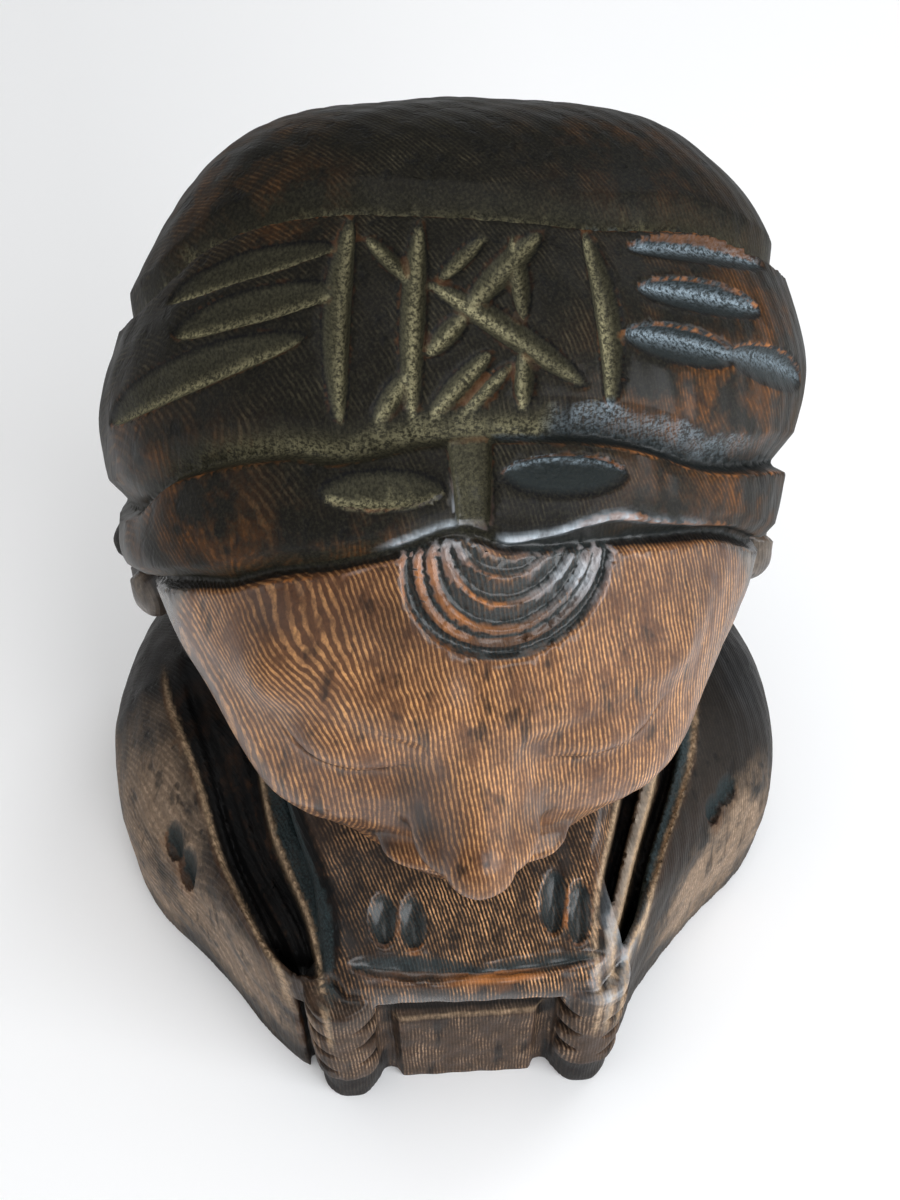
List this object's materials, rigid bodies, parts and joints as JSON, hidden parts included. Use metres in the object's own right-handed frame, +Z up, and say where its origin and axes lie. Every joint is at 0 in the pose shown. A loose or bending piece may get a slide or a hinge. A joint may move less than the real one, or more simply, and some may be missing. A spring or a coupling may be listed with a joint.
{
  "type": "carved wooden bust",
  "caption": "Carved wooden bust: a head in a wrapped, gouge-cut cap, hair over the shoulders, a breast plate with a rounded lip and ringed braids at the front corners, cut flat to stand.",
  "frame": {"origin": "on the flat underside, straight below the middle of the head", "axes": "+Z up through the crown, -Y towards the front (the way the face looks), +X to the right as seen from the front"},
  "size_m": [0.1761, 0.1623, 0.2394],
  "materials": {
    "wood": "softwood with a dark brown to blackish stain under satin wax, worn to orange on the raised edges, dusty in the cuts"
  },
  "bodies": {
    "root": {"carved_bust": "wood"}
  },
  "joints": []
}
